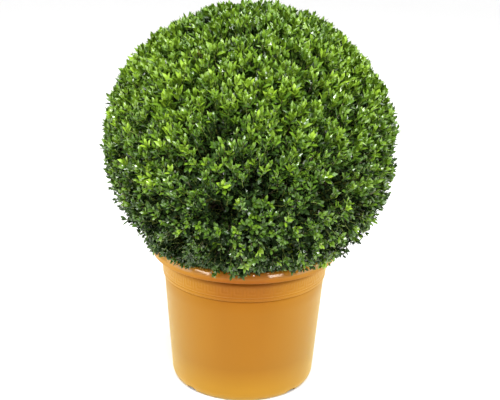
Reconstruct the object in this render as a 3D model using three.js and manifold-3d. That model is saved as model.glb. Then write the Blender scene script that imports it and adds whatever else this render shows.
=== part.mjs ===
// A clipped box ball in its plastic container: pot, compost, stem and one clipped mass of foliage.
// Millimetres, +Z up. The origin is the centre of the pot's underside, on the surface it stands on,
// and the pot's axis is +Z.
import * as THREE from 'three';
import { mergeVertices } from 'three/addons/utils/BufferGeometryUtils.js';
import Module from 'manifold-3d';

const wasm = await Module();
wasm.setup();

// ---------------------------------------------------------------- driving dimensions

const ROUND_SEGMENTS = 60;       // facets round the pot and the compost
const TOUCHING_GAP = 0.3;        // between two solids that rest against each other

// Pot wall and floor
const WALL = 2.6;
const FLOOR = 3;
const FOOT_RADIUS = 125.4;       // outer edge of the ring that the pot stands on
const FOOT_WIDTH = 13;
const FLOOR_LIFT = 6;            // the floor inside the foot ring is clear of the ground by this
const PAD_RADIUS = 22;           // centre pad that stops the floor sagging
const STEP_RUN = 4;              // sideways run of each step between the floor and a foot
const CORNER_HEIGHT = 18;        // rounded bottom corner
const CORNER_RADIUS = 135.9;     // wall radius where the rounded corner ends
const CORNER_THICKENING = 8;     // the wall closes in by this where it meets the floor of the ring
const BODY_TOP_RADIUS = 150.5;   // wall radius just under the collar
const COLLAR_BOTTOM = 209.4;     // height of the ring where the collar starts
const COLLAR_STEP = 2.6;         // the collar stands proud of the body by this
const COLLAR_DRAFT = 0.076;      // outward lean of the wall and the collar, mm per mm of height

// Pot rim
const RIM_RADIUS = 172.5;
const RIM_BOTTOM = 252.5;
const RIM_TOP = 271.6;
const RIM_SKIRT = 3;             // thickness of the rim's lower edge
const RIM_UNDERCUT = 4;          // the rim is hollow above its lower edge by this
const RIM_ROLL_WIDTH = 8;        // outer rounding of the rim's top
const RIM_ROLL_HEIGHT = 12;
const RIM_LIP_WIDTH = 8;         // inner rounding of the rim's top
const RIM_LIP_HEIGHT = 6;
const EDGE_ROUND = 1.2;          // small rounding of the rim's lower edge

// Drainage notches through the foot ring
const NOTCH_COUNT = 4;            // the first is half a step to the side of the front
const NOTCH_HALF_WIDTH = 12;
const NOTCH_SIDE = 3.5;          // its sides are upright to this height, under the arch
const NOTCH_HEIGHT = 8.5;
const NOTCH_REACH = 30;          // radial length of each cut

// Compost
const COMPOST_TOP = 246;

// Stem
const STEM_RADIUS = 19;          // just above the root flare
const STEM_TOP_RADIUS = 15;
const STEM_FLARE = 13;           // extra radius at the root flare
const STEM_FLARE_HEIGHT = 14;
const STEM_FLARE_RIDGES = 5;
const STEM_RIDGE_DEPTH = 0.16;   // share of the radius, at the foot
const STEM_OVAL = 0.94;          // front-to-back width over side-to-side width
const STEM_HEIGHT = 74;
const STEM_LEAN = 5;             // sideways shift of the fork from the foot
const STEM_SEGMENTS = 20;
const STEM_RINGS = 6;            // closer together towards the flared foot

// Foliage
const BALL_RADIUS = 261;
const BALL_CENTRE = new THREE.Vector3(4.6, 0, 452.1);
const BALL_BOTTOM = 274.2;       // clipped flat just over the rim
const BALL_DETAIL = 13;
const TUCK_HEIGHT = 34;          // the clipped side turns in over this height at its foot
const TUCK = 0.062;              // share of the radius that it turns in by
const WAVE_HEIGHT = 0.55;        // gentle unevenness left by the shears, for each of its three waves

// Places where the clipped surface stands out (+) or falls short (-) of a true sphere:
// bearing from +X towards +Y, elevation above the middle, spread in degrees, height in mm.
const SWELLS = [
  { bearing: 4, elevation: 15, spread: 13, height: 7 },
  { bearing: 172, elevation: 20, spread: 12, height: 5.5 },
  { bearing: 185, elevation: -32, spread: 13, height: -5.5 },
  { bearing: 355, elevation: -24, spread: 12, height: 2.5 },
  { bearing: 5, elevation: 38, spread: 10, height: -3.5 },
  { bearing: 20, elevation: 62, spread: 10, height: 2 },
  { bearing: 90, elevation: 80, spread: 22, height: -3 },
  { bearing: 255, elevation: 10, spread: 18, height: 3 },
  { bearing: 305, elevation: -12, spread: 14, height: -2.5 },
  { bearing: 60, elevation: -8, spread: 17, height: 4 },
  { bearing: 118, elevation: 22, spread: 15, height: -3.5 },
  { bearing: 150, elevation: -20, spread: 14, height: 3 },
];

// Shallow waves over the clipped surface, along three crossing directions.
const WAVES = [
  { across: new THREE.Vector3(7, 0, 2), phase: 0 },
  { across: new THREE.Vector3(-3, 8, 0), phase: 1 },
  { across: new THREE.Vector3(0, 4, 10), phase: 2 },
];

// ---------------------------------------------------------------- materials

const POT_PLASTIC = new THREE.MeshStandardMaterial({ color: 0xce8a30, roughness: 0.42, metalness: 0 });
const COMPOST_MATERIAL = new THREE.MeshStandardMaterial({ color: 0x2e2119, roughness: 0.95, metalness: 0 });
const BARK = new THREE.MeshStandardMaterial({ color: 0x8c7a5c, roughness: 0.85, metalness: 0 });
const LEAVES = new THREE.MeshStandardMaterial({ color: 0x4c8a22, roughness: 0.45, metalness: 0 });

// ---------------------------------------------------------------- helpers

// Points along a quarter of an ellipse, without its first point.
function quarterRound(centreX, centreZ, halfWidth, halfHeight, startAngle, endAngle, steps) {
  const points = [];
  for (let step = 1; step <= steps; step += 1) {
    const angle = startAngle + ((endAngle - startAngle) * step) / steps;
    const x = centreX + halfWidth * Math.cos(angle);
    const z = centreZ + halfHeight * Math.sin(angle);
    points.push(new THREE.Vector2(x, z));
  }
  return points;
}

// A solid of revolution about +Z from a profile of (radius, height) points.
function turned(profile, segments) {
  const geometry = new THREE.LatheGeometry(profile, segments);
  geometry.rotateX(Math.PI / 2);
  return welded(geometry);
}

function welded(geometry) {
  geometry.deleteAttribute('normal');
  geometry.deleteAttribute('uv');
  return mergeVertices(geometry, 1e-4);
}

function toSolid(geometry) {
  const vertProperties = new Float32Array(geometry.attributes.position.array);
  const triVerts = new Uint32Array(geometry.index.array);
  return new wasm.Manifold(new wasm.Mesh({ numProp: 3, vertProperties, triVerts }));
}

function toGeometry(solid) {
  const mesh = solid.getMesh();
  const geometry = new THREE.BufferGeometry();
  geometry.setAttribute('position', new THREE.BufferAttribute(mesh.vertProperties, 3));
  geometry.setIndex(new THREE.BufferAttribute(mesh.triVerts, 1));
  geometry.computeVertexNormals();
  return geometry;
}

function namedMesh(name, geometry, material) {
  const mesh = new THREE.Mesh(geometry, material);
  mesh.name = name;
  return mesh;
}

function smoothStep(value) {
  const t = Math.min(Math.max(value, 0), 1);
  return t * t * (3 - 2 * t);
}

// ---------------------------------------------------------------- pot

// Outer radius of the pot's wall, body or collar, at a height above the rounded corner.
function wallRadius(height) {
  if (height > COLLAR_BOTTOM) {
    return BODY_TOP_RADIUS + COLLAR_STEP + COLLAR_DRAFT * (height - COLLAR_BOTTOM);
  }
  const share = (height - CORNER_HEIGHT) / (COLLAR_BOTTOM - CORNER_HEIGHT);
  return CORNER_RADIUS + (BODY_TOP_RADIUS - CORNER_RADIUS) * share;
}

function potOutside() {
  const ringInside = FOOT_RADIUS - FOOT_WIDTH;
  const cornerWidth = CORNER_RADIUS - FOOT_RADIUS;
  const undercutTop = RIM_BOTTOM + RIM_UNDERCUT;
  const skirtInside = RIM_RADIUS - RIM_SKIRT;
  return [
    new THREE.Vector2(0, 0),
    new THREE.Vector2(PAD_RADIUS, 0),
    new THREE.Vector2(PAD_RADIUS + STEP_RUN, FLOOR_LIFT),
    new THREE.Vector2(ringInside - STEP_RUN, FLOOR_LIFT),
    new THREE.Vector2(ringInside, 0),
    new THREE.Vector2(FOOT_RADIUS, 0),
    ...quarterRound(FOOT_RADIUS, CORNER_HEIGHT, cornerWidth, CORNER_HEIGHT, -Math.PI / 2, 0, 4),
    new THREE.Vector2(wallRadius(COLLAR_BOTTOM - 1), COLLAR_BOTTOM - 1),
    new THREE.Vector2(wallRadius(COLLAR_BOTTOM + 1), COLLAR_BOTTOM + 1),
    new THREE.Vector2(wallRadius(undercutTop), undercutTop),
    new THREE.Vector2(skirtInside, undercutTop),
    new THREE.Vector2(skirtInside, RIM_BOTTOM),
    new THREE.Vector2(RIM_RADIUS - EDGE_ROUND, RIM_BOTTOM),
    new THREE.Vector2(RIM_RADIUS, RIM_BOTTOM + EDGE_ROUND),
    new THREE.Vector2(RIM_RADIUS, RIM_TOP - RIM_ROLL_HEIGHT),
    ...quarterRound(
      RIM_RADIUS - RIM_ROLL_WIDTH,
      RIM_TOP - RIM_ROLL_HEIGHT,
      RIM_ROLL_WIDTH,
      RIM_ROLL_HEIGHT,
      0,
      Math.PI / 2,
      4,
    ),
  ];
}

function potInside() {
  const rollTop = RIM_RADIUS - RIM_ROLL_WIDTH;
  const lipBottom = RIM_TOP - RIM_LIP_HEIGHT;
  const ringInside = FOOT_RADIUS - FOOT_WIDTH;
  const grooveOutside = CORNER_RADIUS - WALL - CORNER_THICKENING;
  return [
    ...quarterRound(rollTop, lipBottom, RIM_LIP_WIDTH, RIM_LIP_HEIGHT, Math.PI / 2, Math.PI, 3),
    new THREE.Vector2(wallRadius(RIM_BOTTOM) - WALL, RIM_BOTTOM),
    new THREE.Vector2(wallRadius(COLLAR_BOTTOM + 1) - WALL, COLLAR_BOTTOM + 1),
    new THREE.Vector2(wallRadius(COLLAR_BOTTOM - 2) - WALL, COLLAR_BOTTOM - 2),
    new THREE.Vector2(CORNER_RADIUS - WALL, CORNER_HEIGHT),
    new THREE.Vector2(grooveOutside, FLOOR),
    new THREE.Vector2(ringInside + 1, FLOOR),
    new THREE.Vector2(ringInside + 1 - STEP_RUN, FLOOR_LIFT + FLOOR),
    new THREE.Vector2(PAD_RADIUS + STEP_RUN - 1, FLOOR_LIFT + FLOOR),
    new THREE.Vector2(PAD_RADIUS - 1, FLOOR),
    new THREE.Vector2(0, FLOOR),
  ];
}

// An arched cut, open below, that runs outward along +X under the bottom corner.
function notchCutter() {
  const depthBelow = 2;
  const arch = new THREE.Shape();
  arch.moveTo(-NOTCH_HALF_WIDTH, -depthBelow);
  arch.lineTo(NOTCH_HALF_WIDTH, -depthBelow);
  arch.lineTo(NOTCH_HALF_WIDTH, NOTCH_SIDE);
  arch.absellipse(0, NOTCH_SIDE, NOTCH_HALF_WIDTH, NOTCH_HEIGHT - NOTCH_SIDE, 0, Math.PI, false, 0);
  arch.closePath();
  const geometry = new THREE.ExtrudeGeometry(arch, {
    depth: NOTCH_REACH,
    bevelEnabled: false,
    curveSegments: 8,
  });
  const across = new THREE.Vector3(0, 1, 0);
  const up = new THREE.Vector3(0, 0, 1);
  const outward = new THREE.Vector3(1, 0, 0);
  geometry.applyMatrix4(new THREE.Matrix4().makeBasis(across, up, outward));
  geometry.translate(FOOT_RADIUS - FOOT_WIDTH + 1, 0, 0);
  return welded(geometry);
}

function makePot() {
  const profile = [...potOutside(), ...potInside()];
  let solid = toSolid(turned(profile, ROUND_SEGMENTS));
  for (let notch = 0; notch < NOTCH_COUNT; notch += 1) {
    const cutter = notchCutter();
    cutter.rotateZ(-Math.PI / 2 + ((notch + 0.5) * 2 * Math.PI) / NOTCH_COUNT);
    solid = solid.subtract(toSolid(cutter));
  }
  return namedMesh('pot', toGeometry(solid), POT_PLASTIC);
}

// ---------------------------------------------------------------- compost

function makeCompost() {
  const clearance = 2 * TOUCHING_GAP;
  const inside = (height) => wallRadius(height) - WALL - clearance;
  const bottom = FLOOR_LIFT + FLOOR + TOUCHING_GAP;
  const profile = [
    new THREE.Vector2(0, bottom),
    new THREE.Vector2(FOOT_RADIUS, bottom),
    new THREE.Vector2(inside(CORNER_HEIGHT + 3), CORNER_HEIGHT + 3),
    new THREE.Vector2(inside(COLLAR_BOTTOM - 3), COLLAR_BOTTOM - 3),
    new THREE.Vector2(inside(COLLAR_BOTTOM + 3), COLLAR_BOTTOM + 3),
    new THREE.Vector2(inside(COMPOST_TOP), COMPOST_TOP),
    new THREE.Vector2(0, COMPOST_TOP),
  ];
  return namedMesh('compost', turned(profile, ROUND_SEGMENTS), COMPOST_MATERIAL);
}

// ---------------------------------------------------------------- stem

// The stem from a flat cut at its foot to its fork. A clearance makes it larger all round,
// for the socket that it fills in the foliage.
function stemGeometry(clearance) {
  const foot = COMPOST_TOP + TOUCHING_GAP - clearance;
  const top = STEM_HEIGHT + 2 * clearance;
  const profile = [new THREE.Vector2(0, 0)];
  for (let ring = 0; ring <= STEM_RINGS; ring += 1) {
    const share = (ring / STEM_RINGS) ** 1.6;
    const height = share * STEM_HEIGHT;
    const taper = STEM_RADIUS + (STEM_TOP_RADIUS - STEM_RADIUS) * share;
    const flare = STEM_FLARE * Math.exp(-height / STEM_FLARE_HEIGHT);
    profile.push(new THREE.Vector2(taper + flare + clearance, share * top));
  }
  profile.push(new THREE.Vector2(0, top));
  const geometry = turned(profile, STEM_SEGMENTS);
  const position = geometry.attributes.position;
  for (let index = 0; index < position.count; index += 1) {
    const height = position.getZ(index);
    const angle = Math.atan2(position.getY(index), position.getX(index));
    const fade = Math.exp(-height / STEM_FLARE_HEIGHT);
    const ridge = STEM_RIDGE_DEPTH * Math.cos(STEM_FLARE_RIDGES * angle) * fade;
    const lean = STEM_LEAN * (height / STEM_HEIGHT);
    const x = position.getX(index) * (1 + ridge) + lean;
    const y = position.getY(index) * (1 + ridge) * STEM_OVAL;
    position.setXYZ(index, x, y, height + foot);
  }
  return geometry;
}

function makeStem() {
  return namedMesh('stem', stemGeometry(0), BARK);
}

// ---------------------------------------------------------------- foliage

function directionOf(bearing, elevation) {
  const b = THREE.MathUtils.degToRad(bearing);
  const e = THREE.MathUtils.degToRad(elevation);
  return new THREE.Vector3(Math.cos(e) * Math.cos(b), Math.cos(e) * Math.sin(b), Math.sin(e));
}

// Height of the clipped surface over the plain sphere in a direction.
function unevenness(direction) {
  let height = 0;
  SWELLS.forEach((swell) => {
    const apart = THREE.MathUtils.radToDeg(direction.angleTo(directionOf(swell.bearing, swell.elevation)));
    height += swell.height * Math.exp(-0.5 * (apart / swell.spread) ** 2);
  });
  WAVES.forEach((wave) => {
    height += WAVE_HEIGHT * Math.sin(direction.dot(wave.across) + wave.phase);
  });
  return height;
}

function makeFoliage() {
  const geometry = welded(new THREE.IcosahedronGeometry(1, BALL_DETAIL));
  const position = geometry.attributes.position;
  const point = new THREE.Vector3();
  for (let index = 0; index < position.count; index += 1) {
    point.fromBufferAttribute(position, index).normalize();
    point.multiplyScalar(BALL_RADIUS + unevenness(point));
    const aboveFoot = BALL_CENTRE.z + point.z - BALL_BOTTOM;
    const tuck = 1 - TUCK * smoothStep(1 - aboveFoot / TUCK_HEIGHT);
    const x = BALL_CENTRE.x * tuck + point.x * tuck;
    position.setXYZ(index, x, BALL_CENTRE.y + point.y * tuck, BALL_CENTRE.z + point.z);
  }
  const below = new THREE.BoxGeometry(4 * BALL_RADIUS, 4 * BALL_RADIUS, BALL_RADIUS);
  below.translate(0, 0, BALL_BOTTOM - BALL_RADIUS / 2);
  const ball = toSolid(geometry)
    .subtract(toSolid(welded(below)))
    .subtract(toSolid(stemGeometry(2 * TOUCHING_GAP)));
  return namedMesh('foliage_ball', toGeometry(ball), LEAVES);
}

// ---------------------------------------------------------------- assembly

const group = new THREE.Group();
group.name = 'box_topiary_ball';
group.add(makePot());
group.add(makeCompost());
group.add(makeStem());
group.add(makeFoliage());

export default group;
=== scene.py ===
"""A clipped box ball in its pot: the looks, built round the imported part. Metres, +Z up.

The pot, the compost, the stem and the foliage mass of the frame are each replaced by a detailed piece.
The foliage grows by a seeded rule: boughs spread from the stem's fork, branch again and again until
each one carries a leafy shoot, and the shoots end at the clipped surface that the frame gives.
"""

import math

import bpy
import numpy as np
from mathutils import Matrix, Vector
from mathutils.bvhtree import BVHTree


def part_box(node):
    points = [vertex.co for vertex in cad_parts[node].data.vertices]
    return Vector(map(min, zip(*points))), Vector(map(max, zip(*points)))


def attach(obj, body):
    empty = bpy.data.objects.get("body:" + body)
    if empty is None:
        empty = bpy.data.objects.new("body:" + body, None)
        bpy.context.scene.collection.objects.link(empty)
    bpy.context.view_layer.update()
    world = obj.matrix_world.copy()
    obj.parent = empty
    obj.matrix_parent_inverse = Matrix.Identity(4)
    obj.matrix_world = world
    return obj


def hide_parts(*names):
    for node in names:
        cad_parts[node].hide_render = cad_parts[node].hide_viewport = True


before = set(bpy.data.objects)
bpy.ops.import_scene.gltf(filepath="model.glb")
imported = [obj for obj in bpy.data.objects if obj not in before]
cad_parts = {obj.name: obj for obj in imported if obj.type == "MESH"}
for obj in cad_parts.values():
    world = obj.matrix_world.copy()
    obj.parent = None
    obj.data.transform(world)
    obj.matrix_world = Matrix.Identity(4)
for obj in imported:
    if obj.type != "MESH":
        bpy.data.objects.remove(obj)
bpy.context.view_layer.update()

MM = 0.001
BODY = "root"
SEED = 20
rng = np.random.default_rng(SEED)

_, pot_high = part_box("pot")
compost_low, compost_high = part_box("compost")
stem_low, stem_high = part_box("stem")
foliage_low, foliage_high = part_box("foliage_ball")

# ---------------------------------------------------------------- pot sizes, from the frame

RIM_RADIUS = pot_high.x
RIM_TOP = pot_high.z
WALL = 2.6 * MM
RIM_BOTTOM = RIM_TOP - 19.1 * MM
COLLAR_BOTTOM = RIM_TOP - 62.2 * MM
BODY_TOP_RADIUS = RIM_RADIUS - 22.0 * MM
COLLAR_RADIUS = BODY_TOP_RADIUS + 2.6 * MM      # at its lower edge
COLLAR_DRAFT = 0.076                            # outward lean of the collar
NECK_RADIUS = COLLAR_RADIUS - 4.6 * MM          # inside of the wall, behind the groove under the rim
CORNER_RADIUS = RIM_RADIUS - 36.6 * MM          # where the rounded bottom corner meets the wall
CORNER_HEIGHT = 18 * MM
FOOT_RADIUS = RIM_RADIUS - 47.1 * MM            # outer edge of the ring that the pot stands on
FOOT_WIDTH = 13 * MM
FLOOR_LIFT = 6 * MM
PAD_RADIUS = 22 * MM
NOTCH_COUNT = 4                                 # the first is half a step to the side of the front
NOTCH_HALF_WIDTH = 12 * MM
NOTCH_SIDE = 3.5 * MM                           # its sides are upright to this height, under the arch
NOTCH_HEIGHT = 8.5 * MM

# Key pattern: a walk over a lattice of cells, repeated round the collar over a base line.
KEY_REPEATS = 40
KEY_CELLS = 4                                   # cells in each repeat
KEY_WALK = [(0, 3), (1, 0), (0, -2), (2, 0), (0, 2), (-1, 0), (0, -1)]
KEY_LEVELS = 4
KEY_BASE = COLLAR_BOTTOM + 9.2 * MM             # height of the base line
KEY_PITCH = 6.2 * MM                            # height between two levels
KEY_TOP_HALF = 0.45 * MM                        # half the width of a raised line, on its face
KEY_FOOT_HALF = 1.35 * MM                       # and at its foot
KEY_RELIEF = 0.25 * MM
KEY_TURN = math.radians(1.4)

# ---------------------------------------------------------------- foliage sizes, from the frame

BALL_CENTRE = Vector((
    (foliage_low.x + foliage_high.x) / 2 - 1.7 * MM,
    0,
    foliage_high.z - 259 * MM,
))
FORK = Vector(((stem_low.x + stem_high.x) / 2 + 1.5 * MM, 0, stem_high.z))


# ---------------------------------------------------------------- mesh helpers

def make_object(name, vertices, face_groups, smooth=True):
    """A mesh object from an array of vertices and arrays of faces, each with its own corner count."""
    mesh = bpy.data.meshes.new(name)
    mesh.vertices.add(len(vertices))
    mesh.vertices.foreach_set("co", np.asarray(vertices, np.float32).ravel())
    corners = np.concatenate([group.ravel() for group in face_groups]).astype(np.int32)
    sizes = np.concatenate([np.full(len(group), group.shape[1]) for group in face_groups])
    starts = np.concatenate([[0], np.cumsum(sizes)[:-1]]).astype(np.int32)
    mesh.loops.add(len(corners))
    mesh.loops.foreach_set("vertex_index", corners)
    mesh.polygons.add(len(sizes))
    mesh.polygons.foreach_set("loop_start", starts)
    mesh.polygons.foreach_set("use_smooth", np.full(len(sizes), smooth))
    mesh.update(calc_edges=True)
    piece = bpy.data.objects.new(name, mesh)
    bpy.context.scene.collection.objects.link(piece)
    return piece


def ring_faces(rows, columns):
    """Quads of a grid of vertices whose columns close into rings."""
    row, column = np.meshgrid(np.arange(rows - 1), np.arange(columns), indexing="ij")
    following = (column + 1) % columns
    corners = (
        row * columns + column,
        row * columns + following,
        (row + 1) * columns + following,
        (row + 1) * columns + column,
    )
    return np.stack([corner.ravel() for corner in corners], axis=1)


def full_turn(count):
    return np.linspace(0, 2 * math.pi, count, endpoint=False)


def round_axis(radius, angles, height):
    """Points round the Z axis."""
    return np.stack([radius * np.cos(angles), radius * np.sin(angles), height], axis=-1)


def section_arrays(section, columns):
    """The radius and the height of every vertex of a turned section, as (rows, columns) arrays."""
    return [np.repeat([[entry[part]] for entry in section], columns, axis=1) for part in (0, 1)]


def ringed_solid(name, grid, ends):
    """A closed solid from a (rows, columns) grid of vertices, with a fan to an end point at each end."""
    rows, columns = grid.shape[:2]
    vertices = np.concatenate([grid.reshape(-1, 3), ends])
    column = np.arange(columns)
    following = (column + 1) % columns
    first, last = rows * columns, rows * columns + 1
    below = np.stack([following, column, np.full(columns, first)], axis=1)
    top_row = (rows - 1) * columns
    above = np.stack([top_row + column, top_row + following, np.full(columns, last)], axis=1)
    return make_object(name, vertices, [ring_faces(rows, columns), below, above])


def turned_solid(name, radius, height, angles):
    """A ringed solid round the Z axis: radius and height are (rows, columns) arrays."""
    ends = np.array([[0, 0, height[0].mean()], [0, 0, height[-1].mean()]])
    return ringed_solid(name, round_axis(radius, angles, height), ends)


def sharpen(piece, degrees):
    piece.data.set_sharp_from_angle(angle=math.radians(degrees))


def quarter_round(centre_radius, centre_height, half_width, half_height, start, end, steps):
    """Points along part of an ellipse, from start to end in degrees, without its first point."""
    turns = np.radians(np.linspace(start, end, steps + 1)[1:])
    return [
        (centre_radius + half_width * math.cos(turn), centre_height + half_height * math.sin(turn))
        for turn in turns
    ]


def ripples(points, wavelength, count, seed):
    """Smooth unevenness between about -1 and 1 at each point: a sum of waves in random directions."""
    waves = np.random.default_rng(seed)
    directions = waves.normal(size=(count, 3))
    directions /= np.linalg.norm(directions, axis=1)[:, None]
    numbers = 2 * math.pi / (wavelength * waves.uniform(0.6, 1.6, count))
    phases = waves.uniform(0, 2 * math.pi, count)
    total = np.zeros(points.shape[:-1])
    for direction, number, phase in zip(directions, numbers, phases):
        total += np.sin(points @ direction * number + phase)
    return total / math.sqrt(count)


def unit(vectors):
    return vectors / np.linalg.norm(vectors, axis=-1, keepdims=True)


def towards(bearing, elevation):
    """The direction at a bearing and an elevation in degrees. A bearing of 0 is in front, at -Y."""
    b, e = math.radians(bearing), math.radians(elevation)
    return np.array([math.sin(b) * math.cos(e), -math.cos(b) * math.cos(e), math.sin(e)])


# ---------------------------------------------------------------- material helpers

def srgb(red, green, blue):
    """A linear colour from 0-255 screen values."""
    def linear(value):
        share = value / 255
        return share / 12.92 if share <= 0.04045 else ((share + 0.055) / 1.055) ** 2.4
    return (linear(red), linear(green), linear(blue), 1)


def plain_material(name, colour, roughness, specular=0.5):
    material = bpy.data.materials.new(name)
    material.use_nodes = True
    shader = material.node_tree.nodes["Principled BSDF"]
    shader.inputs["Base Color"].default_value = colour
    shader.inputs["Roughness"].default_value = roughness
    shader.inputs["Specular IOR Level"].default_value = specular
    return material


class Pattern:
    """A material under construction: noise patterns that drive its colour, roughness and bump."""

    def __init__(self, name):
        self.material = bpy.data.materials.new(name)
        self.material.use_nodes = True
        self.nodes = self.material.node_tree.nodes
        self.links = self.material.node_tree.links
        self.shader = self.nodes["Principled BSDF"]
        self.place = self.nodes.new("ShaderNodeTexCoord").outputs["Object"]

    def noise(self, scale, detail=3.0, stretch=(1, 1, 1)):
        mapping = self.nodes.new("ShaderNodeMapping")
        mapping.inputs["Scale"].default_value = stretch
        self.links.new(self.place, mapping.inputs["Vector"])
        noise = self.nodes.new("ShaderNodeTexNoise")
        noise.inputs["Scale"].default_value = scale
        noise.inputs["Detail"].default_value = detail
        self.links.new(mapping.outputs["Vector"], noise.inputs["Vector"])
        return noise.outputs["Fac"]

    def ramp(self, value, stops):
        """Colours along a value: stops are (position, colour)."""
        ramp = self.nodes.new("ShaderNodeValToRGB")
        elements = ramp.color_ramp.elements
        while len(elements) < len(stops):
            elements.new(0.5)
        for element, (position, colour) in zip(elements, stops):
            element.position = position
            element.color = colour
        self.links.new(value, ramp.inputs["Fac"])
        return ramp.outputs["Color"]

    def mapped(self, value, start, end, low=0, high=1):
        """A value that goes from low to high while the given one goes from start to end."""
        mapped = self.nodes.new("ShaderNodeMapRange")
        bounds = {"From Min": start, "From Max": end, "To Min": low, "To Max": high}
        for name, bound in bounds.items():
            mapped.inputs[name].default_value = bound
        self.links.new(value, mapped.inputs["Value"])
        return mapped.outputs["Result"]

    def coordinate(self, axis):
        parts = self.nodes.new("ShaderNodeSeparateXYZ")
        self.links.new(self.place, parts.inputs["Vector"])
        return parts.outputs[axis]

    def aside(self):
        """How far a place lies to the left or right of the middle."""
        across = self.coordinate("X")
        size = self.nodes.new("ShaderNodeMath")
        size.operation = "ABSOLUTE"
        self.links.new(across, size.inputs[0])
        return size.outputs["Value"]

    def product(self, first, second):
        product = self.nodes.new("ShaderNodeMath")
        product.operation = "MULTIPLY"
        self.links.new(first, product.inputs[0])
        self.links.new(second, product.inputs[1])
        return product.outputs["Value"]

    def blend(self, share, first, second):
        """The first colour where the share is 0, the second where it is 1."""
        blend = self.nodes.new("ShaderNodeMixRGB")
        self.links.new(share, blend.inputs["Fac"])
        self.links.new(first, blend.inputs["Color1"])
        self.links.new(second, blend.inputs["Color2"])
        return blend.outputs["Color"]

    def bump(self, value, distance, strength, under=None):
        bump = self.nodes.new("ShaderNodeBump")
        bump.inputs["Distance"].default_value = distance
        bump.inputs["Strength"].default_value = strength
        self.links.new(value, bump.inputs["Height"])
        if under is not None:
            self.links.new(under, bump.inputs["Normal"])
        return bump.outputs["Normal"]

    def drive(self, socket, value):
        self.links.new(value, self.shader.inputs[socket])


NOISE_RANGE = (0.3, 0.7)         # noise patterns run from about here to here

# The pot's colours from its foot to its rim: share of its height, in front, and towards its two sides. They
# hold painted light: paler at the foot for light bounced off the floor, darker over the collar and darkest
# in a band just under the rim as the rim's painted shadow, paler on the rim's upper face as painted light
# from above, and paler and yellower towards the sides as a painted sheen.
POT_COLOURS_PAINTED_LIGHT = [
    (0.02, (149, 105, 20), (157, 112, 19)),
    (0.1, (145, 100, 15), (147, 101, 14)),
    (0.25, (130, 81, 3), (136, 90, 8)),
    (0.72, (133, 81, 0), (147, 97, 7)),
    (0.80, (132, 75, 0), (166, 114, 9)),
    (0.86, (131, 74, 0), (166, 114, 9)),
    (0.885, (120, 65, 0), (162, 109, 8)),
    (0.929, (119, 64, 0), (159, 106, 8)),
    (0.935, (134, 68, 0), (159, 105, 8)),
    (0.96, (148, 86, 1), (172, 120, 10)),
]
POT_MOTTLE = 0.015               # how far the colour strays from these, as a share


def pot_plastic():
    """Moulded plastic, faintly mottled and grained, glossy on its rim, with painted light in its colour:
    paler at its foot and sides, darker under its rim.
    """
    look = Pattern("pot_plastic")
    look.shader.inputs["Specular IOR Level"].default_value = 0.1
    look.shader.inputs["Sheen Weight"].default_value = 0.3
    look.shader.inputs["Sheen Roughness"].default_value = 0.55
    look.shader.inputs["Sheen Tint"].default_value = (1, 0.94, 0.33, 1)
    look.shader.inputs["Coat Roughness"].default_value = 0.09
    height = look.mapped(look.coordinate("Z"), 0, RIM_TOP)
    mottle = look.mapped(look.noise(9, detail=4), *NOISE_RANGE)
    # the colours by height hold painted light: a paler foot, a painted shadow under the rim and a paler rim
    # top
    darker, paler = (
        look.ramp(height, [
            (place, srgb(*(share * value for value in front))) for place, front, _ in POT_COLOURS_PAINTED_LIGHT
        ])
        for share in (1 - POT_MOTTLE, 1 + POT_MOTTLE)
    )
    front = look.blend(mottle, darker, paler)
    # painted sheen: the colour grows paler and yellower towards the left and right sides
    side = look.ramp(height, [(place, srgb(*colour)) for place, _, colour in POT_COLOURS_PAINTED_LIGHT])
    painted_sheen_share = look.mapped(look.aside(), 0.2 * RIM_RADIUS, 0.88 * RIM_RADIUS)
    look.drive("Base Color", look.blend(painted_sheen_share, front, side))
    on_rim = look.mapped(look.coordinate("Z"), RIM_TOP - 13 * MM, RIM_TOP - 10.5 * MM)
    off_side = look.mapped(look.aside(), 0.95 * RIM_RADIUS, 0.5 * RIM_RADIUS)
    look.drive("Coat Weight", look.product(on_rim, off_side))
    look.drive("Roughness", look.mapped(look.noise(60, detail=5), *NOISE_RANGE, 0.34, 0.42))
    grain = look.bump(look.noise(900, detail=1), 0.0001, 0.15)
    look.drive("Normal", look.bump(look.noise(14, detail=2), 0.0008, 0.25, under=grain))
    return look.material


def compost_material():
    look = Pattern("compost")
    crumbs = look.noise(160, detail=8)
    look.drive("Base Color", look.ramp(crumbs, [
        (0.3, srgb(26, 18, 13)),
        (0.55, srgb(56, 40, 29)),
        (0.72, srgb(98, 76, 56)),
    ]))
    look.drive("Roughness", look.mapped(crumbs, *NOISE_RANGE, 0.85, 1.0))
    look.drive("Normal", look.bump(crumbs, 0.003, 0.8))
    return look.material


def bark_material():
    look = Pattern("bark")
    cracks = look.noise(150, detail=6, stretch=(1, 1, 0.25))
    look.drive("Base Color", look.ramp(cracks, [
        (0.32, srgb(58, 47, 34)),
        (0.5, srgb(122, 106, 80)),
        (0.7, srgb(163, 148, 118)),
    ]))
    look.drive("Roughness", look.mapped(cracks, *NOISE_RANGE, 0.75, 0.95))
    look.drive("Normal", look.bump(cracks, 0.0015, 0.7))
    return look.material


# ---------------------------------------------------------------- pot

def collar_radius(height):
    return COLLAR_RADIUS + COLLAR_DRAFT * (height - COLLAR_BOTTOM)


def key_edges():
    """The lattice edges that the raised line of one repeat runs along, as pairs of nodes."""
    edges = set()
    for cell in range(KEY_CELLS):
        edges.add(((cell, 0), (cell + 1, 0)))
    here = (0, 0)
    for across, up in KEY_WALK:
        for _ in range(abs(across) + abs(up)):
            after = (here[0] + np.sign(across), here[1] + np.sign(up))
            edges.add((min(here, after), max(here, after)))
            here = after
    return edges


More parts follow.
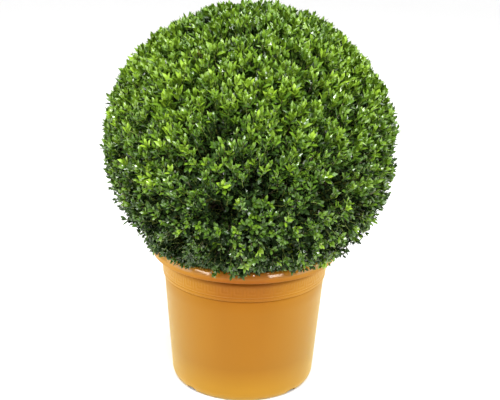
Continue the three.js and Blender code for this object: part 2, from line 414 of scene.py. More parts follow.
def key_raised(edges, cell, side, level, edge):
    """Whether a vertex stands on the raised line, which runs along the edges.

    side and edge say where it is on the lattice line of its cell and its level: -1 and 1 at the two
    feet of a line, and 0 on its face.
    """
    def has(first, second):
        return (first, second) in edges

    node = (cell, level)
    from_last = cell == 0 and has((KEY_CELLS - 1, level), (KEY_CELLS, level))
    left = has((cell - 1, level), node) or from_last
    right = has(node, (cell + 1, level))
    down = has((cell, level - 1), node)
    up = has(node, (cell, level + 1))
    if side and edge:
        return False
    if side:
        return right if side > 0 else left
    if edge:
        return up if edge > 0 else down
    return left or right or up or down


def pot_section():
    """The pot's section from the middle of its underside, up the outside and down the inside.

    Each entry is (radius, height, level, edge); level and edge are None off the key pattern.
    """
    ring_inside = FOOT_RADIUS - FOOT_WIDTH
    step = 4 * MM
    points = [(PAD_RADIUS, 0), (PAD_RADIUS + step, FLOOR_LIFT), (ring_inside - step, FLOOR_LIFT)]
    points += [(ring_inside, 0), (FOOT_RADIUS, 0)]
    corner_width = CORNER_RADIUS - FOOT_RADIUS
    points += quarter_round(FOOT_RADIUS, CORNER_HEIGHT, corner_width, CORNER_HEIGHT, -90, 0, 10)
    wall_rows = 8
    wall_top = COLLAR_BOTTOM - 4 * MM
    for row in range(1, wall_rows + 1):
        share = row / wall_rows
        points.append((
            CORNER_RADIUS + (BODY_TOP_RADIUS - CORNER_RADIUS) * share,
            CORNER_HEIGHT + (wall_top - CORNER_HEIGHT) * share,
        ))
    # the groove under the collar, the collar's lower edge, and the fine groove over it
    for lift, proud in [
        (-3.1, -2.7), (-2.2, -3.2), (-1.4, -3.8), (-0.4, -3.9), (0.0, -3.5), (0.1, -0.4), (0.4, 0.0),
        (2.0, 0.15), (4.6, 0.15), (5.9, 0.0), (6.4, -0.4), (7.0, -0.45), (7.6, 0.0),
    ]:
        height = COLLAR_BOTTOM + lift * MM
        points.append((collar_radius(height) + proud * MM, height))
    section = [(radius, height, None, None) for radius, height in points]
    for level in range(KEY_LEVELS):
        for offset, edge in [
            (-KEY_FOOT_HALF, -1), (-KEY_TOP_HALF, 0), (KEY_TOP_HALF, 0), (KEY_FOOT_HALF, 1),
        ]:
            height = KEY_BASE + level * KEY_PITCH + offset
            section.append((collar_radius(height), height, level, edge))
    undercut_top = RIM_BOTTOM + 4 * MM
    skirt_inside = RIM_RADIUS - 3 * MM
    edge_round = 0.7 * MM
    lip_width, lip_height = 8 * MM, 6 * MM
    inside = COLLAR_RADIUS - WALL
    points = []
    for drop, proud in [
        (13.4, 0.0), (11.8, -0.5), (10.2, -1.4), (8.6, -2.7), (7, -4.0), (5, -5.0), (2, -5.5),
    ]:
        height = RIM_BOTTOM - drop * MM
        points.append((collar_radius(height) + proud * MM, height))
    points += [
        (collar_radius(undercut_top) - 4.5 * MM, undercut_top),
        (skirt_inside - 1 * MM, undercut_top),
        (skirt_inside, undercut_top - 1 * MM),
        (skirt_inside, RIM_BOTTOM + 0.5 * MM),
        (skirt_inside + 0.5 * MM, RIM_BOTTOM),
        (RIM_RADIUS - edge_round, RIM_BOTTOM),
    ]
    points += quarter_round(
        RIM_RADIUS - edge_round, RIM_BOTTOM + edge_round, edge_round, edge_round, -90, 0, 3)
    # the rim's face leans in over its upper half, then rolls over the top
    for inward, drop in [
        (0, 12.5), (0.15, 11.4), (0.6, 10), (1.3, 8.4), (2.0, 6.8), (2.7, 5.2), (3.6, 3.4),
        (4.8, 1.8), (6.3, 0.5), (8, 0),
    ]:
        points.append((RIM_RADIUS - inward * MM, RIM_TOP - drop * MM))
    points += quarter_round(
        RIM_RADIUS - 8 * MM, RIM_TOP - lip_height, lip_width, lip_height, 90, 180, 6)
    points += [
        (NECK_RADIUS, RIM_BOTTOM + 5 * MM),
        (NECK_RADIUS, RIM_BOTTOM - 12 * MM),
        (inside, RIM_BOTTOM - 22 * MM),
        (inside, COLLAR_BOTTOM + 1 * MM),
        (BODY_TOP_RADIUS - WALL, COLLAR_BOTTOM - 2 * MM),
        (CORNER_RADIUS - WALL, CORNER_HEIGHT),
        (CORNER_RADIUS - WALL - 8 * MM, 3 * MM),
        (ring_inside + 1 * MM, 3 * MM),
        (ring_inside + 1 * MM - step, FLOOR_LIFT + 3 * MM),
        (PAD_RADIUS + step - 1 * MM, FLOOR_LIFT + 3 * MM),
        (PAD_RADIUS - 1 * MM, 3 * MM),
    ]
    section += [(radius, height, None, None) for radius, height in points]
    return section


def notch_cutter():
    """Arched bars that cut the drainage notches through the foot ring."""
    arch_steps = 12
    turns = np.linspace(0, math.pi, arch_steps + 1)
    across = np.concatenate([[-NOTCH_HALF_WIDTH], -NOTCH_HALF_WIDTH * np.cos(turns), [NOTCH_HALF_WIDTH]])
    arch = NOTCH_SIDE + (NOTCH_HEIGHT - NOTCH_SIDE) * np.sin(turns)
    up = np.concatenate([[-2 * MM], arch, [-2 * MM]])
    near, far = FOOT_RADIUS - FOOT_WIDTH + 1 * MM, FOOT_RADIUS + 18 * MM
    count = len(across)
    vertices, faces, caps = [], [], []
    for notch in range(NOTCH_COUNT):
        turn = -math.pi / 2 + (notch + 0.5) * 2 * math.pi / NOTCH_COUNT
        out = np.array([math.cos(turn), math.sin(turn), 0])
        side = np.array([-math.sin(turn), math.cos(turn), 0])
        start = notch * 2 * count
        for reach in (near, far):
            vertices.append(reach * out + across[:, None] * side + up[:, None] * [0, 0, 1])
        faces.append(start + ring_faces(2, count)[:, ::-1])
        caps.append(start + np.arange(count))
        caps.append(start + count + np.arange(count)[::-1])
    return make_object("notch_cutter", np.concatenate(vertices), [np.concatenate(faces), np.array(caps)])


def make_pot():
    section = pot_section()
    edges = key_edges()
    cells = KEY_REPEATS * KEY_CELLS
    pattern_radius = collar_radius(KEY_BASE)
    offsets = np.array([-KEY_FOOT_HALF, -KEY_TOP_HALF, KEY_TOP_HALF, KEY_FOOT_HALF]) / pattern_radius
    sides = [-1, 0, 0, 1]
    cell_angles = KEY_TURN + np.arange(cells) * 2 * math.pi / cells
    angles = (cell_angles[:, None] + offsets).ravel()
    radius, height = section_arrays(section, len(angles))
    for row, (_, _, level, edge) in enumerate(section):
        if level is None:
            continue
        raised = [
            key_raised(edges, cell, side, level, edge) for cell in range(KEY_CELLS) for side in sides
        ]
        radius[row] += KEY_RELIEF * np.tile(raised, KEY_REPEATS)
    pot = turned_solid("pot_shell", radius, height, angles)
    cutter = notch_cutter()
    cut = pot.modifiers.new("notches", "BOOLEAN")
    cut.operation = "DIFFERENCE"
    cut.solver = "EXACT"
    cut.object = cutter
    apply_modifiers(pot)
    bpy.data.objects.remove(cutter)
    sharpen(pot, 32)
    pot.data.materials.clear()
    pot.data.materials.append(pot_plastic())
    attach(pot, BODY)
    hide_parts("pot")


def apply_modifiers(piece):
    depsgraph = bpy.context.evaluated_depsgraph_get()
    finished = bpy.data.meshes.new_from_object(piece.evaluated_get(depsgraph))
    piece.modifiers.clear()
    piece.data = finished


# ---------------------------------------------------------------- compost

def make_compost():
    """The compost: the frame's filling, with a crumbly top out to the pot's wall."""
    columns = 180
    angles = full_turn(columns)
    top_radius = NECK_RADIUS
    bottom_radius = FOOT_RADIUS - 2 * MM
    sides = [(bottom_radius, compost_low.z + 0.5 * MM), (CORNER_RADIUS - 5 * MM, CORNER_HEIGHT + 6 * MM),
             (BODY_TOP_RADIUS - 4.5 * MM, COLLAR_BOTTOM - 4 * MM)]
    top_rows = 60
    top = [(top_radius * share, compost_high.z - 3 * MM) for share in np.linspace(1, 0.01, top_rows)]
    rows = [(bottom_radius * share, compost_low.z + 0.5 * MM) for share in (0.02, 0.5)] + sides + top
    radius, height = section_arrays(rows, columns)
    points = round_axis(radius, angles, height)
    lumps = 1.6 * MM * ripples(points, 30 * MM, 14, 1) + 0.9 * MM * ripples(points, 9 * MM, 20, 2)
    height[-top_rows:] += np.clip(lumps, -3 * MM, 3 * MM)[-top_rows:]
    compost = turned_solid("compost_top", radius, height, angles)
    compost.data.materials.append(compost_material())
    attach(compost, BODY)
    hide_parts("compost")


# ---------------------------------------------------------------- stem

def make_stem():
    """The short stem, with its flare, taper and lean, and bark that cracks along its length."""
    columns, rows = 48, 60
    angles = full_turn(columns)
    share = np.linspace(0, 1, rows) ** 1.3
    length = stem_high.z - stem_low.z
    top_radius, foot_radius, flare, flare_height = 15 * MM, 19 * MM, 12 * MM, 14 * MM
    lean = FORK.x
    up = share[:, None] * length
    fade = np.exp(-up / flare_height)
    radius = foot_radius + (top_radius - foot_radius) * share[:, None] + flare * fade
    radius = radius * (1 + 0.15 * np.cos(5 * angles) * fade)
    height = stem_low.z + up + 0 * angles
    points = round_axis(radius, angles, height * 0.22)
    radius = radius + 0.5 * MM * ripples(points, 7 * MM, 24, 3) - 0.6 * MM
    grid = np.stack([
        radius * np.cos(angles) + lean * up / length,
        0.94 * radius * np.sin(angles),
        height,
    ], axis=-1)
    stem = ringed_solid("stem_bark", grid, np.array([[0, 0, stem_low.z], [lean, 0, stem_high.z]]))
    sharpen(stem, 60)
    stem.data.materials.append(bark_material())
    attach(stem, BODY)
    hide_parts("stem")


# ---------------------------------------------------------------- shoots

OUTER_SHOOTS = 9300
SKIRT_SHOOTS = 420
INNER_SHOOTS = 2400
LEGGY_SHOOTS = 180
CORE_SHOOTS = 700

HOLLOW_DEPTH = 34 * MM           # how much deeper shoots end in a full hollow
HOLLOW_PITCH = 46 * MM           # about how far apart the hollows are
SMALL_HOLLOW_PITCH = 24 * MM
YOUNG_LIFT = 2 * MM              # how much further out the palest sprays end
PROUD_SHARE = 0.015              # share of the shoots that end a few millimetres past the others


def spread_directions(count):
    """Directions spread evenly over a sphere, each moved a little."""
    index = np.arange(count) + 0.5
    polar = np.arccos(1 - 2 * index / count)
    turn = index * math.pi * (1 + 5 ** 0.5)
    even = round_axis(np.sin(polar), turn, np.cos(polar))
    return unit(even + rng.normal(0, 0.35 * math.sqrt(4 * math.pi / count), even.shape))


def surface_points(directions):
    """Where each direction from the ball's centre meets the clipped surface, and the slope there."""
    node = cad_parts["foliage_ball"]
    mesh = node.data
    tree = BVHTree.FromPolygons([v.co for v in mesh.vertices], [p.vertices for p in mesh.polygons])
    points = np.zeros((len(directions), 3))
    normals = np.zeros((len(directions), 3))
    for index, direction in enumerate(directions):
        place, normal, _, _ = tree.ray_cast(BALL_CENTRE, Vector(direction))
        points[index] = place
        normals[index] = normal
    return points, normals


# Where the darkest hollows between the sprays lie, and the palest young sprays: bearing and elevation on
# the ball, and half the width, all in degrees. Shoots in a hollow end deeper, and their darker tones are
# painted shade.
HOLLOWS = [
    (-1, 0, 4.5), (-8, -9, 5.5), (11, -3, 3.5), (-34, -28, 4), (34, -21, 3.5), (0, 42, 3.5), (-18, 27, 2.5),
]
YOUNG_SPRAYS = [(-39, -1, 6), (38, -12, 4.5), (0, -34, 5), (46, -42, 9)]


def inside_spots(outward, spots):
    """How far inside any of the spots each direction lies: 0 at the edge, 1 in the middle."""
    inside = np.zeros(len(outward))
    for bearing, elevation, half_width in spots:
        angle = np.degrees(np.arccos(np.clip(outward @ towards(bearing, elevation), -1, 1)))
        inside = np.maximum(inside, np.clip(2 * (1 - angle / half_width), 0, 1))
    return inside


def make_shoots(count, depth_low, depth_high, size=1.0):
    """Shoots as arrays: tip, foot, bend (the middle point of their curve), length, and outward normal."""
    outward = spread_directions(count)
    surface, normals = surface_points(outward)
    underside = normals[:, 2] < -0.95
    share = np.interp(outward[:, 2], [-0.5, 0.1, 0.4], [0.72, 0.8, 1.0])
    keep = rng.random(count) < np.where(underside, 0.35, share)
    outward, surface, normals = outward[keep], surface[keep], normals[keep]
    underside = underside[keep]
    count = len(outward)
    normals = unit(normals + outward)
    height = normals[:, 2]
    filled = np.interp(height, [-0.5, 0.3], [0.0, 0.3])
    hollow = np.clip(ripples(surface, HOLLOW_PITCH, 20, 7) - filled, 0, 1.1)
    hollow *= np.interp(height, [-0.7, -0.4, 0.5], [0.9, 1.6, 0.6])
    small_hollow = np.clip(ripples(surface, SMALL_HOLLOW_PITCH, 20, 8) - 0.55, 0, 1)
    hollow += 0.6 * small_hollow * np.interp(height, [0, 0.3], [0, 1])
    hollow += 1.2 * inside_spots(outward, HOLLOWS)
    young = inside_spots(outward, YOUNG_SPRAYS)
    depth = rng.uniform(depth_low, depth_high, count) + np.abs(rng.normal(0, 4.5 * MM, count))
    depth += HOLLOW_DEPTH * hollow * (1 - young) - YOUNG_LIFT * young
    depth -= np.interp(height, [-0.7, -0.3, 0.0, 0.4, 0.8], [10.5, 9.5, 8.5, 4.5, 0.5]) * MM
    proud = rng.random(count) < PROUD_SHARE
    depth[proud] -= rng.uniform(1 * MM, 4 * MM, proud.sum())
    tip = surface - normals * depth[:, None]
    rise = np.interp(height, [-1, -0.6, -0.3, 0.0, 0.4, 1], [-0.1, 0.1, 0.6, 1.4, 1.9, 0.3])
    rise = rise + rng.normal(0, 0.2, count)
    axis = unit(normals + rise[:, None] * [0, 0, 1] + rng.normal(0, 0.24, (count, 3)))
    # a shoot's share of hollow goes on as gloom, which darkens its tone as painted shade; young sprays keep
    # their own paler tone
    return shoots_to(tip, axis, normals, np.where(underside, 0.6, 1.0) * size, hollow - 1.3 * young)


def make_skirt(count):
    """Short shoots round the ball's lower edge that hang out over the pot's rim."""
    turn = np.arange(count) * 2 * math.pi / count + rng.normal(0, 0.01, count)
    outward = round_axis(1, turn, np.zeros(count))
    reach = rng.uniform(RIM_RADIUS - 14 * MM, RIM_RADIUS + 8 * MM, count)
    drop = np.interp(reach, [RIM_RADIUS - 8 * MM, RIM_RADIUS + 4 * MM], [6 * MM, 2 * MM])
    tip = outward * reach[:, None]
    tip[:, 2] = RIM_TOP + drop + rng.uniform(-3, 12, count) * MM
    axis = unit(outward + np.stack([0 * turn, 0 * turn, rng.normal(-0.25, 0.3, count)], axis=1)
                + rng.normal(0, 0.25, (count, 3)))
    normals = unit(outward - [0, 0, 0.45])
    young = inside_spots(unit(tip - BALL_CENTRE), YOUNG_SPRAYS)
    # the skirt hangs under the ball's edge: its small gloom darkens its tone as painted shade
    return shoots_to(tip, axis, normals, 0.75, 0.2 - 1.6 * young)


def make_leggy(count):
    """Long, sparse shoots on the lower half, whose pale twigs show between their leaves."""
    outward = spread_directions(count)
    outward = outward[(outward[:, 2] > -0.45) & (outward[:, 2] < 0.25)]
    surface, normals = surface_points(outward)
    count = len(outward)
    tip = surface - normals * rng.uniform(2, 9, count)[:, None] * MM
    rise = np.interp(normals[:, 2], [-0.4, 0.1], [0.1, 0.7])
    axis = unit(0.55 * normals + rise[:, None] * [0, 0, 1] + rng.normal(0, 0.25, (count, 3)))
    return shoots_to(tip, axis, normals, 1.7, np.full(count, -0.12), stretch=2.3, twig=1.3)


def shoots_to(tip, axis, normals, size, gloom, stretch=1.0, twig=1.0):
    """Shoots that end at the tips. Gloom is how far each one lies in shade; it darkens the shoot's tone, as
    painted shade.
    """
    count = len(tip)
    length = rng.uniform(38, 50, count) * MM * size
    bend = tip - axis * length[:, None] * 0.55
    inward = unit(bend - BALL_CENTRE)
    foot = bend - unit(0.75 * inward + 0.25 * axis) * length[:, None] * 0.45
    return {
        "tip": tip, "foot": foot, "bend": bend, "length": length, "normal": normals, "gloom": gloom,
        "stretch": np.full(count, stretch), "twig": np.full(count, twig * TWIG_RADIUS),
    }


def joined(*groups):
    return {key: np.concatenate([group[key] for group in groups]) for key in groups[0]}


def along(shoots, share):
    """Place and heading on each shoot's curve, at a share of its length from the foot."""
    foot, bend, tip = shoots["foot"], shoots["bend"], shoots["tip"]
    share = np.asarray(share)[..., None]
    place = (1 - share) ** 2 * foot + 2 * share * (1 - share) * bend + share ** 2 * tip
    heading = unit((1 - share) * (bend - foot) + share * (tip - bend))
    return place, heading


# ---------------------------------------------------------------- limbs

TWIG_RADIUS = 0.85 * MM
PIPE_POWER = 0.335               # a limb's radius grows with this power of the shoots it carries
BOUGH_COUNT = 7                  # that part at the fork
BOUGH_RADIUS = 3 * MM            # limbs that start thicker than this are boughs
BROWN_TWIG_RADIUS = 1.3 * MM     # and twigs that start thicker than this are brown


def limb_radius(carried):
    return TWIG_RADIUS * len(carried) ** PIPE_POWER


def grow_limbs(fork, shoots):
    """Limbs from the fork to every shoot's tip. Each is a list of (point, radius).

    A limb heads for the middle of the shoots it carries. Before it gets there it parts with a smaller
    branch, which carries its share of them, and so on until one shoot is left.
    """
    feet = shoots["foot"]
    limbs = []
    bearing = np.arctan2(feet[:, 1] - fork.y, feet[:, 0] - fork.x)
    sector = np.floor((bearing / (2 * math.pi) + 0.5) * BOUGH_COUNT).astype(int) % BOUGH_COUNT
    stack = []
    for bough in range(BOUGH_COUNT):
        carried = np.flatnonzero(sector == bough)
        heading = (bough + 0.5) * 2 * math.pi / BOUGH_COUNT - math.pi
        start = np.array([
            fork.x + 5 * MM * math.cos(heading), fork.y + 5 * MM * math.sin(heading),
            fork.z - rng.uniform(6, 16) * MM,
        ])
        stack.append(([(start, limb_radius(carried))], carried))
    while stack:
        limb, carried = stack.pop()
        while len(carried) > 1:
            middle = feet[carried].mean(axis=0)
            offsets = feet[carried] - middle
            spread = math.sqrt((offsets ** 2).sum(axis=1).mean())
            here = limb[-1][0]
            way = middle - here
            distance = np.linalg.norm(way)
            reach = max(distance - 1.15 * spread, 0.22 * distance)
            point = here + way * (reach / distance) + rng.normal(0, 0.05, 3) * reach
            limb.append((point, limb_radius(carried)))
            _, directions = np.linalg.eigh(offsets.T @ offsets)
            order = np.argsort(offsets @ directions[:, 2])
            cut = max(1, int(len(carried) * rng.uniform(0.3, 0.5)))
            if rng.random() < 0.5:
                order = order[::-1]
            small, large = carried[order[:cut]], carried[order[cut:]]
            stack.append(([(point, limb_radius(small))], small))
            carried = large
        shoot = carried[0]
        foot, bend, tip = (shoots[key][shoot] for key in ("foot", "bend", "tip"))
        radius = shoots["twig"][shoot]
        limb.append((foot, radius))
        limb.append((0.25 * foot + 0.5 * bend + 0.25 * tip, 0.9 * radius))
        limb.append((tip, 0.6 * radius))
        limbs.append(limb)
    return limbs


def smoothed(points, radii, between):
    """A rounder course through the same points, with more points between them."""
    points = np.asarray(points)
    padded = np.concatenate([[2 * points[0] - points[1]], points, [2 * points[-1] - points[-2]]])
    course, sizes = [points[0]], [radii[0]]
    for index in range(len(points) - 1):
        before, start, end, after = padded[index:index + 4]
        for share in np.linspace(0, 1, between + 1)[1:]:
            course.append(0.5 * (
                2 * start + (end - before) * share
                + (2 * before - 5 * start + 4 * end - after) * share ** 2
                + (3 * start - before - 3 * end + after) * share ** 3
            ))
            sizes.append(radii[index] + (radii[index + 1] - radii[index]) * share)
    return np.array(course), np.array(sizes)


def tube(points, radii, sides):
    """Vertices and faces of a closed tube through the points."""
    points, radii = np.asarray(points), np.asarray(radii)
    heading = unit(np.gradient(points, axis=0))
    overall = unit(points[-1] - points[0])
    helper = np.eye(3)[np.argmin(np.abs(overall))]
    across = unit(np.cross(heading, helper))
    other = np.cross(heading, across)
    turns = full_turn(sides)
    ring = np.cos(turns)[:, None] * across[:, None, :] + np.sin(turns)[:, None] * other[:, None, :]
    vertices = points[:, None, :] + radii[:, None, None] * ring
    rows = len(points)
    quads = ring_faces(rows, sides)
    column = np.arange(1, sides - 1)
    start_cap = np.stack([column + 1, column, np.zeros_like(column)], axis=1)
    last = (rows - 1) * sides
    end_cap = np.stack([last + column, last + column + 1, np.full_like(column, last)], axis=1)
    triangles = np.concatenate([quads[:, [0, 1, 2]], quads[:, [0, 2, 3]], start_cap, end_cap])
    return vertices.reshape(-1, 3), triangles


def make_limbs(limbs):
    """The boughs, with relief in their bark, and the twigs, in pieces of their own."""
    boughs, green_twigs, brown_twigs = [], [], []
    for limb in limbs:
        points = np.array([point for point, _ in limb])
        radii = np.array([radius for _, radius in limb])
        if radii[0] > BOUGH_RADIUS:
            points, radii = smoothed(points, radii, 3)
            boughs.append(tube(points, radii, 8))
        elif radii[0] > BROWN_TWIG_RADIUS:
            brown_twigs.append(tube(points, radii, 4))
        else:
            green_twigs.append(tube(points, radii, 3))
    groups = [
        ("boughs", boughs, bark_material()),
        ("twigs_brown", brown_twigs, plain_material("twig_brown", srgb(84, 76, 48), 0.7)),
        ("twigs_green", green_twigs, plain_material("twig_green", srgb(108, 122, 46), 0.55)),
    ]
    for name, tubes, material in groups:
        counts = np.cumsum([0] + [len(vertices) for vertices, _ in tubes])
        vertices = np.concatenate([vertices for vertices, _ in tubes])
        triangles = np.concatenate([faces + start for (_, faces), start in zip(tubes, counts)])
        if name == "boughs":
            stretched = vertices * [1, 1, 0.4]
            vertices = vertices + 0.35 * MM * ripples(stretched, 8 * MM, 12, 5)[:, None]
        piece = make_object(name, vertices, [triangles])
        piece.data.materials.append(material)
        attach(piece, BODY)
        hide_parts("foliage_ball")


# ---------------------------------------------------------------- leaves

# One leaf: share of the length, share of the width, and lift off its plane, with the edges rolled down.
LEAF = np.array([
    (0.00, 0.00, 0.00),
    (0.27, 0.43, 0.02),
    (0.68, 0.46, 0.00),
    (1.00, 0.00, -0.08),
    (0.68, -0.46, 0.00),
    (0.27, -0.43, 0.02),
    (0.52, 0.00, 0.09),
])
LEAF_FACES = np.array([(0, 1, 6), (1, 2, 6), (2, 3, 6), (3, 4, 6), (4, 5, 6), (5, 0, 6)])

# Leaf pairs of a shoot, from its tip down: distance from the tip and leaf length in mm, the angle between
# leaf and shoot in degrees, and how many tones darker than the young tip, partly for the older leaves and
# partly as painted shade.
PAIRS = [
    (0.0, 12.0, 16, 0),
    (5.5, 15.0, 25, 0),
    (12.0, 17.0, 32, 2),
    (19.5, 16.0, 40, 4),
]

# Where no leaf hangs over the rim: the bearing of the middle of each stretch, and half its width.
BARE_RIM = [(-25, 7), (19, 6)]

# Greens from the pale new growth to the dark old leaves; the darker ones are also dealt as painted shade.
TONES = {
    "lime": (124, 155, 42),
    "spring": (100, 130, 32),
    "bright": (87, 118, 29),
    "mid": (71, 101, 30),
    "deep": (55, 81, 25),
    "dark": (39, 60, 22),
    "shade": (34, 52, 22),
    "gloom": (28, 41, 20),
    "olive": (112, 112, 40),
}
# How strongly each tone's surface mirrors: the old leaves inside are dull.
GLOSS = {"dark": 0.32, "shade": 0.08, "gloom": 0.0}
YOUNG_GLOSS = 0.42               # all the other tones
LEAF_ROUGHNESS = 0.17
TONE_NAMES = list(TONES)
OLIVE = TONE_NAMES.index("olive")
DARKEST = TONE_NAMES.index("gloom")
TONE_EDGES = [-0.95, -0.66, -0.40, -0.15, 0.1, 0.4]      # shade at which one tone gives way to the next
LIME_SHARE = 0.01
OLIVE_SHARE = 0.0006             # shoots that are yellowing


def deal_tones(shoots, inner):
    """The tone of each shoot's young tip. It is partly the plant's own colour, the palest new growth on
    top, and partly painted light and shade: paler on the upper half, darker low down, inside the ball and
    in the hollows.
    """
    count = len(inner)
    height = shoots["normal"][:, 2]
    uneven = np.interp(height, [-0.4, 0.5], [0.3, 0.18])
    # painted light and shade: the tone is dealt paler where the ball faces up, and darker low down, inside
    # it and in gloom
    light = np.interp(height, [-0.8, -0.5, -0.2, 0.2, 0.6, 1.0], [-0.28, -0.04, 0.26, 0.5, 0.77, 0.48])
    light = light + uneven * rng.normal(0, 1, count) - 0.4 * inner - 0.7 * shoots["gloom"]
    tone = np.digitize(-light, TONE_EDGES)
    tone[rng.random(count) < LIME_SHARE] = 0
    tone[rng.random(count) < OLIVE_SHARE] = OLIVE
    return tone


def leaf_arrays(shoots, inner):
    """Every leaf's foot, heading, face normal, length, width and tone."""
    tip_tone = deal_tones(shoots, inner)
    count = len(inner)
    roll = rng.uniform(0, 2 * math.pi, count)
    height = shoots["normal"][:, 2]
    size = rng.normal(1.0, 0.13, count) * np.interp(height, [-0.5, 0.0, 0.6], [0.81, 0.85, 1.05])
    size *= np.interp(tip_tone, [0, 2, 5], [1.2, 1.04, 0.93])
    open_out = np.interp(height, [-0.5, 0.3], [1.6, 1.0])
    rows = []
    for number, (from_tip, leaf_length, lean, darker) in enumerate(PAIRS):
        share = 1 - from_tip * MM * shoots["stretch"] / shoots["length"]
        place, heading = along(shoots, share)
        helper = np.where(np.abs(heading[:, 2:3]) > 0.8, [[1.0, 0, 0]], [[0, 0, 1.0]])
        across = unit(np.cross(heading, helper))
        other = np.cross(heading, across)
        for opposite in (0, 1):
            turn = roll + number * math.pi / 2 + opposite * math.pi + rng.normal(0, 0.4, count)
            out = np.cos(turn)[:, None] * across + np.sin(turn)[:, None] * other
            angle = np.radians(lean * open_out + rng.normal(0, 12, count))[:, None]
            direction = np.cos(angle) * heading + np.sin(angle) * out
            face = np.sin(angle) * heading - np.cos(angle) * out
            light = unit(shoots["normal"] + [0, 0, 0.9])
            light = light - (light * direction).sum(axis=1, keepdims=True) * direction
            face = unit(face + 0.55 * light + rng.normal(0, 0.16, face.shape))
            face = unit(face - (face * direction).sum(axis=1, keepdims=True) * direction)
            length = leaf_length * MM * size * rng.normal(1, 0.08, count)
            width = length * np.interp(height, [-0.5, 0.4], [0.48, 0.39]) * rng.normal(1, 0.08, count)
            curl = rng.normal(0.6, 0.5, count)
            # the older pairs are darker, and more so low on the ball: there it is painted shade
            steps = np.round(darker * np.interp(height, [-0.4, 0.3], [1.5, 0.8])).astype(int)
            tone = np.where(tip_tone == OLIVE, OLIVE, np.minimum(tip_tone + steps, DARKEST))
            present = rng.random(count) < (0.97 if number < 3 else 0.9)
            rows.append((place[present], direction[present], face[present], length[present],
                         width[present], curl[present], tone[present]))
    return [np.concatenate(column) for column in zip(*rows)]


def leaf_vertices(place, direction, face, length, width, curl):
    side = np.cross(direction, face)
    along_leaf = LEAF[:, 0][None, :, None] * (length[:, None, None] * direction[:, None, :])
    across_leaf = LEAF[:, 1][None, :, None] * (width[:, None, None] * side[:, None, :])
    lift = LEAF[:, 2][None, :] - 0.10 * curl[:, None] * LEAF[:, 0][None, :] ** 2
    off_plane = lift[:, :, None] * (length[:, None, None] * face[:, None, :])
    return place[:, None, :] + along_leaf + across_leaf + off_plane


def clear_of_pot(vertices):
    """Leaves that lie neither in the pot's rim nor in its compost."""
    radius = np.hypot(vertices[..., 0], vertices[..., 1])
    height = vertices[..., 2]
    bearing = np.degrees(np.arctan2(vertices[..., 0], -vertices[..., 1]))
    bare = np.zeros(radius.shape, bool)
    for middle, half in BARE_RIM:
        bare |= np.abs(bearing - middle) < half
    over_rim = (radius > COLLAR_RADIUS - 2 * MM) & (radius < RIM_RADIUS + 1 * MM)
    in_rim = over_rim & (height < RIM_TOP + 0.5 * MM)
    over_bare = bare & (radius > NECK_RADIUS) & (height < RIM_TOP + 4 * MM)
    too_low = height < np.where(radius > RIM_RADIUS, RIM_TOP - 11 * MM, compost_high.z + 4 * MM)
    return ~(in_rim | over_bare | too_low).any(axis=1)


def make_leaves(shoots, inner):
    place, direction, face, length, width, curl, tone = leaf_arrays(shoots, inner)
    vertices = leaf_vertices(place, direction, face, length, width, curl)
    clear = clear_of_pot(vertices)
    vertices, tone = vertices[clear], tone[clear]
    for number, name in enumerate(TONE_NAMES):
        chosen = vertices[tone == number]
        if not len(chosen):
            continue
        starts = np.arange(len(chosen)) * len(LEAF)
        faces = (LEAF_FACES[None, :, :] + starts[:, None, None]).reshape(-1, 3)
        piece = make_object("leaves_" + name, chosen.reshape(-1, 3), [faces], smooth=False)
        piece.data.materials.append(plain_material(
            "leaf_" + name, srgb(*TONES[name]), LEAF_ROUGHNESS, specular=GLOSS.get(name, YOUNG_GLOSS)))
        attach(piece, BODY)
        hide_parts("foliage_ball")


def make_foliage():
    outer = make_shoots(OUTER_SHOOTS, 6 * MM, 12 * MM)
    skirt = make_skirt(SKIRT_SHOOTS)
    deeper = make_shoots(INNER_SHOOTS, 30 * MM, 50 * MM)
    core = make_shoots(CORE_SHOOTS, 65 * MM, 95 * MM, size=1.5)
    shoots = joined(outer, skirt, make_leggy(LEGGY_SHOOTS), deeper, core)
    count = len(shoots["length"])
    inner = np.arange(count) >= count - len(deeper["length"]) - len(core["length"])
    make_limbs(grow_limbs(FORK, shoots))
    make_leaves(shoots, inner)


# ---------------------------------------------------------------- floor, light and camera

FLOOR_INNER = 3.0                # radius of the floor's first ring, in metres
FLOOR_LEVEL = 9                  # the floor is level to this radius
FLOOR_SWEEP = 20                 # radius of the bend in which it rises from there
FLOOR_RISE = 60                  # how steep it gets, in degrees


def make_floor():
    """A plain floor that is level round the plant and rises far away into a wide bowl, as a backdrop."""
    columns = 96
    angles = full_turn(columns)
    bend = np.radians(np.linspace(0, FLOOR_RISE, 13))
    radius = np.concatenate([[FLOOR_INNER], FLOOR_LEVEL + FLOOR_SWEEP * np.sin(bend)])[:, None]
    height = np.concatenate([[0.0], FLOOR_SWEEP - FLOOR_SWEEP * np.cos(bend)])[:, None]
    grid = round_axis(radius, angles, height + 0 * angles)
    middle = len(radius) * columns
    column = np.arange(columns)
    fan = np.stack([column, (column + 1) % columns, np.full(columns, middle)], axis=1)
    vertices = np.concatenate([grid.reshape(-1, 3), [[0, 0, 0]]])
    floor = make_object("floor", vertices, [ring_faces(len(radius), columns)[:, ::-1], fan])
    floor.data.materials.append(plain_material("floor", (0.8, 0.8, 0.8, 1), 0.8))


LIGHT_AIM = Vector((0, 0, 0.35))  # about half way up the whole object
WORLD_STRENGTH = 0.17
WARM = (1, 0.93, 0.8)
CREAM = (1, 0.97, 0.9)
WHITE = (1, 1, 1)

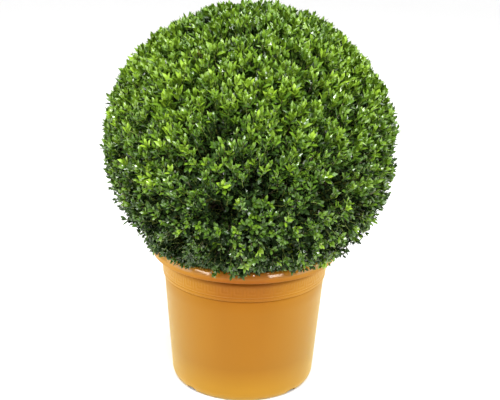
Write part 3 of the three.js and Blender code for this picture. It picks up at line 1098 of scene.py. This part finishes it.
# Bearing and elevation in degrees, distance, width and height in metres, watts, and tint. Boxes give the
# pot's rim its highlights, spots give the leaves their glints, and walls light the pot's sides.
SOFT_BOXES = {
    "left_box": (-52, 21, 2.4, 0.85, 0.34, 12, WARM),
    "right_box": (38, 21, 2.4, 0.65, 0.3, 8, WARM),
    "left_spot": (-24, 58, 2.4, 0.32, 0.32, 18, WHITE),
    "right_spot": (30, 46, 2.4, 0.32, 0.32, 18, WHITE),
    "left_low_spot": (-30, 27, 2.4, 0.26, 0.26, 11, WHITE),
    "right_low_spot": (14, 31, 2.4, 0.26, 0.26, 11, WHITE),
    "left_side_spot": (-48, 42, 2.4, 0.24, 0.24, 7, WHITE),
    "right_side_spot": (52, 34, 2.4, 0.24, 0.24, 7, WHITE),
    "left_wall": (-84, 8, 2.2, 1.6, 1.0, 14.8, CREAM),
    "right_wall": (84, 8, 2.2, 1.6, 1.0, 14.2, CREAM),
    "left_back": (-135, 50, 2.6, 1.4, 1.0, 24, WHITE),
    "right_back": (135, 50, 2.6, 1.4, 1.0, 24, WHITE),
}


def add_light(name, kind, away, energy):
    """A light that shines from the direction away."""
    light = bpy.data.objects.new(name, bpy.data.lights.new(name, kind))
    light.data.energy = energy
    light.rotation_euler = away.to_track_quat("Z", "Y").to_euler()
    bpy.context.scene.collection.objects.link(light)
    return light


def soft_box(name, bearing, elevation, distance, width, height, watts, colour):
    """A soft rectangular light that faces the middle of the object."""
    away = Vector(towards(bearing, elevation))
    light = add_light(name, "AREA", away, watts)
    light.location = LIGHT_AIM + away * distance
    light.visible_camera = False
    light.data.shape = "RECTANGLE"
    light.data.size, light.data.size_y = width, height
    light.data.color = colour


def sky_light(bearing, elevation, spread, strength):
    """A far, wide, soft light, so that the floor is as bright behind the plant as under it."""
    light = add_light("sky_light", "SUN", Vector(towards(bearing, elevation)), strength)
    light.data.angle = math.radians(spread)


def make_lights():
    world = bpy.data.worlds.new("studio")
    world.use_nodes = True
    background = world.node_tree.nodes["Background"]
    background.inputs["Color"].default_value = (1, 1, 1, 1)
    background.inputs["Strength"].default_value = WORLD_STRENGTH
    bpy.context.scene.world = world
    sky_light(bearing=6, elevation=66, spread=60, strength=3.25)
    for name, values in SOFT_BOXES.items():
        soft_box(name, *values)
    bpy.context.scene.view_settings.view_transform = "Standard"


def make_camera():
    """Seen from in front and above, rolled a little, with the whole plant in view."""
    elevation, roll, distance = math.radians(18.76), math.radians(1.34), 1.853
    target = Vector((7.8 * MM, 0, 347.3 * MM))
    back = Vector((0, -math.cos(elevation), math.sin(elevation)))
    right = Vector((1, 0, 0))
    up = back.cross(right)
    rolled_right = math.cos(roll) * right + math.sin(roll) * up
    rolled_up = -math.sin(roll) * right + math.cos(roll) * up
    lens = bpy.data.cameras.new("camera")
    lens.sensor_width = 36
    lens.lens = 72
    camera = bpy.data.objects.new("camera", lens)
    turn = Matrix((rolled_right, rolled_up, back)).transposed()
    camera.matrix_world = Matrix.Translation(target + back * distance) @ turn.to_4x4()
    bpy.context.scene.collection.objects.link(camera)
    bpy.context.scene.camera = camera


make_camera()
make_lights()
make_floor()
make_pot()
make_compost()
make_stem()
make_foliage()
